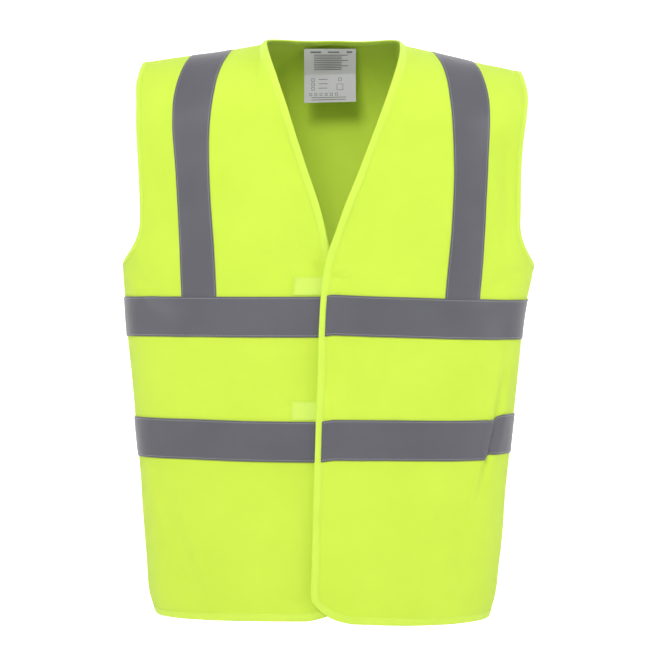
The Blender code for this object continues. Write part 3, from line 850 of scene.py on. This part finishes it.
def back_neck_path():
    angles = np.linspace(0, math.pi, 60)
    runs = NECK_DROP * np.sin(angles) ** 2
    turns = []
    for angle, run in zip(angles, runs):
        turn = turn_at(max(NECK_HALF * abs(math.cos(angle)), 1e-6), run)
        turns.append(1 - turn if angle < math.pi / 2 else 1 + turn)
    return Path(turns, runs, 0.0, -1)


def armhole_path(side):
    """From the seam at the bottom, up the front, over the shoulder and down the back."""
    runs = np.concatenate([[0.0], UPPER_RUNS])
    turns = np.array([armhole_turn(side, run) for run in runs])
    return Path(np.concatenate([turns[::-1], turns[1:]]), np.concatenate([runs[::-1], -runs[1:]]),
                0.0, side)


def back_hem_path():
    turns = np.linspace(0.5, 1.5, 200)
    return Path(turns, np.full(200, run_of(LENGTH)), 0.0, 1)


STITCH_HEIGHT, INNER_STITCH_HEIGHT = PANEL + BINDING_GAP + BINDING_THICK * 1.15, -0.00095
STITCH_INSET = 0.0016


def add_binding(name, path, nodes, side=None, width=BINDING_WIDTH):
    piece = strip_mesh(name, path, bound_profile(width), BINDING)
    lines = [(path, width - STITCH_INSET, height) for height in (STITCH_HEIGHT, INNER_STITCH_HEIGHT)]
    seam = stitches(lines, f"{name}_stitches", YELLOW_THREAD)
    attach([piece, seam], side)
    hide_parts(*nodes)


def add_bindings():
    for side, word in SIDES.items():
        add_binding(f"{word}_front_edge", front_edge_path(side), [f"{word}_front_binding"], side)
        add_binding(f"{word}_armhole_edge", armhole_path(side), [f"{word}_armhole_binding"],
                    width=ARMHOLE_BINDING)
    add_binding("back_neck_edge", back_neck_path(), ["neck_binding"])
    add_binding("back_hem_edge", back_hem_path(), ["hem_binding"])


# ---- reflective tape
BRACE_LOW, BRACE_THICK = PANEL + 0.0002, 0.0005
TAPE_LOW, TAPE_THICK = PANEL + 0.0008, 0.0006
TAPE_STITCH = 0.0022    # distance of the stitches from the tape's edge
TAPE_STITCH_HEIGHT = TAPE_LOW + TAPE_THICK + 0.00005
REAR_COLUMNS = 150


def band_stitches(name, turn, run, low):
    """Two lines of stitches along a band, just inside its edges."""
    paths = []
    for row, inset in ((0, TAPE_STITCH), (-1, -TAPE_STITCH)):
        line = Path(turn[row], run[row] + inset, low[row], 1)
        paths.append((line, 0.0, TAPE_STITCH_HEIGHT))
    return stitches(paths, name, GREY_THREAD)


def add_bands():
    """Both hoops: a front length on each side and one length round the back."""
    for word, depth in (("upper", UPPER_BAND), ("lower", LOWER_BAND)):
        runs = run_of(np.linspace(depth, depth + TAPE_WIDTH, 15))
        for side, hand in SIDES.items():
            turn, run = front_rows(side, runs, 75, skip=BINDING_WIDTH - 0.002)
            low = lap_lift(side, turn, run)
            name = f"{word}_band_{hand}"
            band = sheet_mesh(name, turn, run, low + TAPE_LOW, TAPE_THICK, TAPE)
            seam = band_stitches(f"{name}_stitches", turn, run, low)
            attach([band, seam], side)
            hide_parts(f"{name}_side", f"{name}_flap")
        turn, run = np.meshgrid(np.linspace(0.5, 1.5, REAR_COLUMNS), runs)
        band = sheet_mesh(f"{word}_band_rear", turn, run, TAPE_LOW, TAPE_THICK, TAPE)
        seam = band_stitches(f"{word}_band_rear_stitches", turn, run, np.zeros_like(turn))
        attach([band, seam])
        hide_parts(f"{word}_band_back")


BRACE_DEPTHS = (0, 0.015, 0.035, 0.06, 0.09, 0.15, 0.22, 0.27, UPPER_BAND)
BRACE_X = {1: (0.1526, 0.162, 0.1678, 0.1717, 0.1747, 0.1752, 0.173, 0.1724, 0.1709),
           -1: (0.153, 0.1612, 0.1685, 0.1728, 0.1736, 0.1722, 0.1696, 0.1642, 0.1578)}
BRACE_WIDENING = ((0, 0.03, 0.06, 0.09, 0.125, 0.33), (1.12, 1.13, 1.15, 1.09, 1.01, 0.99))


def add_braces():
    """Tapes over the shoulders, tucked under the upper hoops front and back."""
    reach = run_of(UPPER_BAND + 0.004)
    stations = np.linspace(reach, -reach, 190)
    down = np.abs(stations)
    half = BRACE_WIDTH / 2 * curve(depth_of(down), *BRACE_WIDENING)
    shares = np.linspace(-1, 1, 13)
    for side, word in SIDES.items():
        x = curve(depth_of(down), BRACE_DEPTHS, BRACE_X[side])
        middle = Path([turn_at(side * a, r) for a, r in zip(x, down)], stations, 0.0, 1)
        half_width = np.interp(middle.gone, np.linspace(0, middle.gone[-1], len(half)), half)
        places = [walk(middle.turn, middle.run, middle.inward, share * half_width) for share in shares]
        turn = np.stack([t for t, _ in places], axis=1)
        run = np.stack([r for _, r in places], axis=1)
        brace = sheet_mesh(f"{word}_brace", turn, run, BRACE_LOW, BRACE_THICK, TAPE)
        lines = [(middle, side_way * (half_width - TAPE_STITCH), BRACE_LOW + BRACE_THICK)
                 for side_way in (-1, 1)]
        seam = stitches(lines, f"{word}_brace_stitches", GREY_THREAD)
        attach([brace, seam])
        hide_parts(f"{word}_shoulder_brace")


# ---- tabs, seams and label
TAB_HEIGHT, TAB_RISE = 0.0225, 0.0245    # a tab's height, and its top over the hoop's upper edge
TAB_STITCH = 0.0015


def add_tab(name, node, body, side, depth, x_far, low, high, mat):
    """Hook or loop square beside a front's binding, with a line of stitches round it."""
    runs = run_of(np.linspace(depth, depth + TAB_HEIGHT, 14))
    near = edge_x(side, runs[0]) + side * (BINDING_WIDTH - 0.001)
    xs = np.linspace(near, x_far, 26)
    turn = np.array([[turn_at(x, run) for x in xs] for run in runs])
    run = np.repeat(runs[:, None], len(xs), axis=1)
    tab = sheet_mesh(name, turn, run, lap_lift(side, turn, run) + low, high - low, mat)
    inset = turn_shift(runs[0], TAB_STITCH) * (1 if x_far > near else -1)
    round_turn = np.concatenate([turn[0, :-1], turn[:, -1] - inset, turn[-1, -2::-1]])
    round_run = np.concatenate([run[0, :-1], run[:, -1], run[-1, -2::-1]])
    round_run = np.clip(round_run, runs[0] + TAB_STITCH, runs[-1] - TAB_STITCH)
    face = high + STITCH_RISE if low > 0 else low - STITCH_RISE
    line = Path(round_turn, round_run, lap_lift(side, round_turn, round_run), 1, step=0.002)
    seam = stitches([(line, 0.0, face)], f"{name}_stitches", YELLOW_THREAD)
    attach([tab, seam], body=body)
    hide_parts(node)


def add_tabs():
    for word, band in (("upper", UPPER_BAND), ("lower", LOWER_BAND)):
        depth = band - TAB_RISE
        add_tab(f"{word}_loop_square", f"{word}_loop_tab", "right_front", -1, depth, -0.0405,
                PANEL + 0.0002, PANEL + 0.0011, LOOP)
        add_tab(f"{word}_hook_square", f"{word}_hook_tab", "left_front", 1, depth, 0.037,
                -0.0011, -0.0002, HOOK)


SEAM_HALF, SEAM_THICK, SEAM_LOW = 0.009, 0.0008, -0.0011
HALF_GIRTH = 0.62    # metres of cloth for a turn of 1, in the seam allowances


def add_seams():
    """Seam allowances inside the sides and shoulders, with their lines of stitches."""
    for side, word in SIDES.items():
        runs = run_of(np.linspace(ARMPIT + 0.008, LENGTH - 0.009, 90))
        offsets = np.linspace(-SEAM_HALF, SEAM_HALF, 7)
        turn, run = np.meshgrid(side * 0.5 + side * offsets / HALF_GIRTH, runs)
        allowance = sheet_mesh(f"{word}_side_allowance", turn, run, SEAM_LOW, SEAM_THICK, KNIT)
        lines = [(Path(turn[:, k], run[:, k], 0.0, 1), 0.0, SEAM_LOW - STITCH_RISE) for k in (0, -1)]
        lines.append((Path(turn[:, 3], run[:, 3], 0.0, 1), 0.0025, PANEL + STITCH_RISE))
        seam = stitches(lines, f"{word}_side_stitches", YELLOW_THREAD)
        stations = np.linspace(turn_at(side * 0.097, 0.0), armhole_turn(side, 0.0) * 0.955, 40)
        turn, run = np.meshgrid(stations, -offsets)
        shoulder = sheet_mesh(f"{word}_shoulder_allowance", turn, run, SEAM_LOW, SEAM_THICK, KNIT)
        outside = Path(turn[1], run[1] - 0.003, 0.0, 1)
        top_line = [(outside, 0.0, PANEL + STITCH_RISE)]
        top_seam = stitches(top_line, f"{word}_shoulder_stitches", YELLOW_THREAD)
        attach([allowance, seam, shoulder, top_seam])
        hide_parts(f"{word}_side_seam")
        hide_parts(f"{word}_shoulder_seam")


LABEL_WIDTH, LABEL_TAIL = 0.068, 0.037    # its width, and its length below the crease
LABEL_TIP = math.radians(4)
LABEL_SEAM, LABEL_CREASE = (np.array(JOINTS[name]["pos_m"]) for name in ("label_lift", "label_bend"))
CREASE_AT = float(np.linalg.norm(LABEL_CREASE - LABEL_SEAM))


def label_spot(across, along):
    """Point of the label: across from -1 to 1, along in metres below its seam."""
    lean = (LABEL_CREASE - LABEL_SEAM) / CREASE_AT
    flare = np.array([0, -math.sin(LABEL_TIP), -math.cos(LABEL_TIP)])
    point = LABEL_SEAM + lean * min(along, CREASE_AT) + flare * max(along - CREASE_AT, 0)
    curl = 0.0022 * across ** 2 * ease((along - CREASE_AT * 0.4) / 0.05)
    ripple = 0.0006 * math.sin(across * 2.4 + along * 60)
    return point + np.array([across * LABEL_WIDTH / 2, -curl + ripple, 0.0008 * across * along / 0.07])


def label_grid(xs, ys, push):
    return np.array([[label_spot(x, y) + np.array([0, push, 0]) for x in xs] for y in ys])


def add_label():
    """Care label in two halves that bend at its crease, with its printed marks."""
    length = CREASE_AT + LABEL_TAIL
    ys = np.concatenate([np.linspace(0.0003, CREASE_AT, 17), np.linspace(CREASE_AT, length, 21)[1:]])
    xs = np.linspace(-1, 1, 29)
    uv = np.array([[x * LABEL_WIDTH / 2, y] for y in ys for x in xs])
    slip = shell_mesh("neck_label", label_grid(xs, ys, -0.00022), label_grid(xs, ys, 0.00022), SATIN, uv)
    verts, faces = [], []
    for x0, x1, y0, y1 in label_marks():
        base = len(verts)
        verts += list(label_grid((x0, x1), (y0, y1), -0.00034).reshape(-1, 3))
        faces.append((base, base + 1, base + 3, base + 2))
    marks = mend_normals(add_object("label_marks", verts, faces, INK, smooth=False))
    for one in (slip, marks):
        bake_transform(one)
    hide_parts("label_upper", "label_lower")


def frame_marks(left, top, size):
    """Four bars of an empty square frame."""
    bar, right, bottom = 0.0006, left + size / (LABEL_WIDTH / 2), top + size
    across = bar / (LABEL_WIDTH / 2)
    return [(left, right, top, top + bar), (left, right, bottom - bar, bottom),
            (left, left + across, top, bottom), (right - across, right, top, bottom)]


def label_marks():
    """Generic printed marks, as boxes of (left, right, top, bottom): bars and empty frames."""
    marks = [(-0.76, -0.34, 0.0042, 0.0064), (-0.08, 0.36, 0.0042, 0.006), (0.64, 0.86, 0.0038, 0.0062)]
    for row in range(9):
        top = 0.009 + row * 0.0026
        marks.append((-0.62, 0.45 if row % 3 else 0.7, top, top + 0.001))
    for row in range(3):
        top = CREASE_AT + 0.005 + row * 0.0058
        marks += frame_marks(-0.72, top, 0.0042)
        marks.append((-0.44, -0.1, top + 0.001, top + 0.0018))
    marks += frame_marks(0.32, CREASE_AT + 0.0045, 0.0045) + frame_marks(0.26, CREASE_AT + 0.0125, 0.0085)
    for left in np.linspace(-0.8, 0.2, 6):
        marks += frame_marks(left, CREASE_AT + 0.0245, 0.0036)
    for top in (0.03, 0.033):
        marks.append((-0.72, 0.62, CREASE_AT + top, CREASE_AT + top + 0.0008))
    return marks


# ---- stage, light and camera
EYE = Vector((0.0, -3.22, -0.328))
AIM_Z = -0.3725
LENS = 136.2


def add_stage():
    """Pale floor that curves up into a wall behind the vest; its far parts glow, so they stay pale."""
    mesh = bpy.data.meshes.new("floor")
    half, floor_z, back, bend = 6.0, -1.35, 5.0, 1.5
    profile = [(-half, floor_z), (back - bend, floor_z)]
    profile += [(back - bend + bend * math.sin(a), floor_z + bend - bend * math.cos(a))
                for a in np.linspace(0, math.pi / 2, 12)[1:]]
    profile.append((back, 5.0))
    verts = [(x, y, z) for y, z in profile for x in (-half, half)]
    faces = [(2 * k, 2 * k + 1, 2 * k + 3, 2 * k + 2) for k in range(len(profile) - 1)]
    mesh.from_pydata(verts, [], faces)
    mesh.shade_smooth()
    floor = bpy.data.objects.new("floor", mesh)
    bpy.context.collection.objects.link(floor)
    white = Nodes("pale_floor", (0.93, 0.93, 0.93), 0.9, specular=0.1)
    white.colour(white.ramp(white.noise(0.6, 1.0), (0.925, 0.925, 0.925), (0.94, 0.94, 0.94)))
    split = white.add("ShaderNodeSeparateXYZ")
    white.link(white.object_place(), split.inputs[0])
    black, pale, full = (0.0, 0.0, 0.0), (0.32, 0.32, 0.32), (0.9, 0.9, 0.9)
    wall = white.ramp(white.math("MULTIPLY", split.outputs[1], 0.2), black, full, 0.45, 0.75)
    away = white.add("ShaderNodeVectorMath", operation="LENGTH")
    white.link(white.object_place(), away.inputs[0])
    distant = white.ramp(white.math("MULTIPLY", away.outputs["Value"], 0.2), black, pale, 0.4, 0.9)
    white.link(white.mix("LIGHTEN", 1.0, wall, distant), white.shader.inputs["Emission Color"])
    white.shader.inputs["Emission Strength"].default_value = 1.0
    mesh.materials.append(white.mat)


def add_light(name, where, aim, size, power):
    data = bpy.data.lights.new(name, "AREA")
    data.shape = "DISK"
    data.size = size
    data.energy = power
    lamp = bpy.data.objects.new(name, data)
    lamp.location = where
    lamp.rotation_mode = "QUATERNION"
    lamp.rotation_quaternion = (Vector(aim) - Vector(where)).to_track_quat("-Z", "Y")
    bpy.context.collection.objects.link(lamp)


def around(azimuth, elevation, distance, centre=(0, 0, -0.2)):
    """Place at an angle round the vest; 0 is in front of it and 90 at its left side."""
    turn, rise = math.radians(azimuth), math.radians(elevation)
    flat = distance * math.cos(rise)
    return (centre[0] + flat * math.sin(turn), centre[1] - flat * math.cos(turn),
            centre[2] + distance * math.sin(rise))


def add_studio():
    """A key light that reaches in through the neck, soft side and rear lights, a pale horizon."""
    world = bpy.data.worlds.new("studio")
    bpy.context.scene.world = world
    world.use_nodes = True
    tree = world.node_tree
    place_node = tree.nodes.new("ShaderNodeTexCoord")
    split = tree.nodes.new("ShaderNodeSeparateXYZ")
    level = tree.nodes.new("ShaderNodeMapRange")
    tree.links.new(place_node.outputs["Generated"], split.inputs[0])
    tree.links.new(split.outputs[2], level.inputs["Value"])
    for name, value in (("From Min", 0.45), ("From Max", 0.15), ("To Min", 0.06), ("To Max", 0.38)):
        level.inputs[name].default_value = value
    tree.links.new(level.outputs[0], tree.nodes["Background"].inputs["Color"])
    aim = (0, 0, -0.3)
    for name, where, size, power in (
            ("key", around(-10, 28, 3.4), 1.3, 75),
            ("top", (0, -0.4, 3.0), 1.2, 46),
            ("left_soft", around(70, 12, 3.0), 1.2, 47),
            ("right_soft", around(-68, 12, 3.0), 1.2, 31),
            ("rear_left", around(145, 25, 3.4), 1.4, 20),
            ("rear_right", around(-145, 25, 3.4), 1.4, 20)):
        add_light(name, where, aim, size, power)
    bpy.context.scene.view_settings.view_transform = "Standard"
    bpy.context.scene.view_settings.look = "None"


def add_camera():
    data = bpy.data.cameras.new("camera")
    data.lens = LENS
    data.sensor_width = 36.0
    data.clip_end = 50.0
    camera = bpy.data.objects.new("camera", data)
    camera.location = EYE
    camera.rotation_mode = "QUATERNION"
    camera.rotation_quaternion = (Vector((EYE.x, 0, AIM_Z)) - EYE).to_track_quat("-Z", "Y")
    bpy.context.collection.objects.link(camera)
    bpy.context.scene.camera = camera


add_camera()
add_studio()
add_stage()
add_fronts()
add_back()
add_bindings()
add_bands()
add_braces()
add_tabs()
add_seams()
add_label()
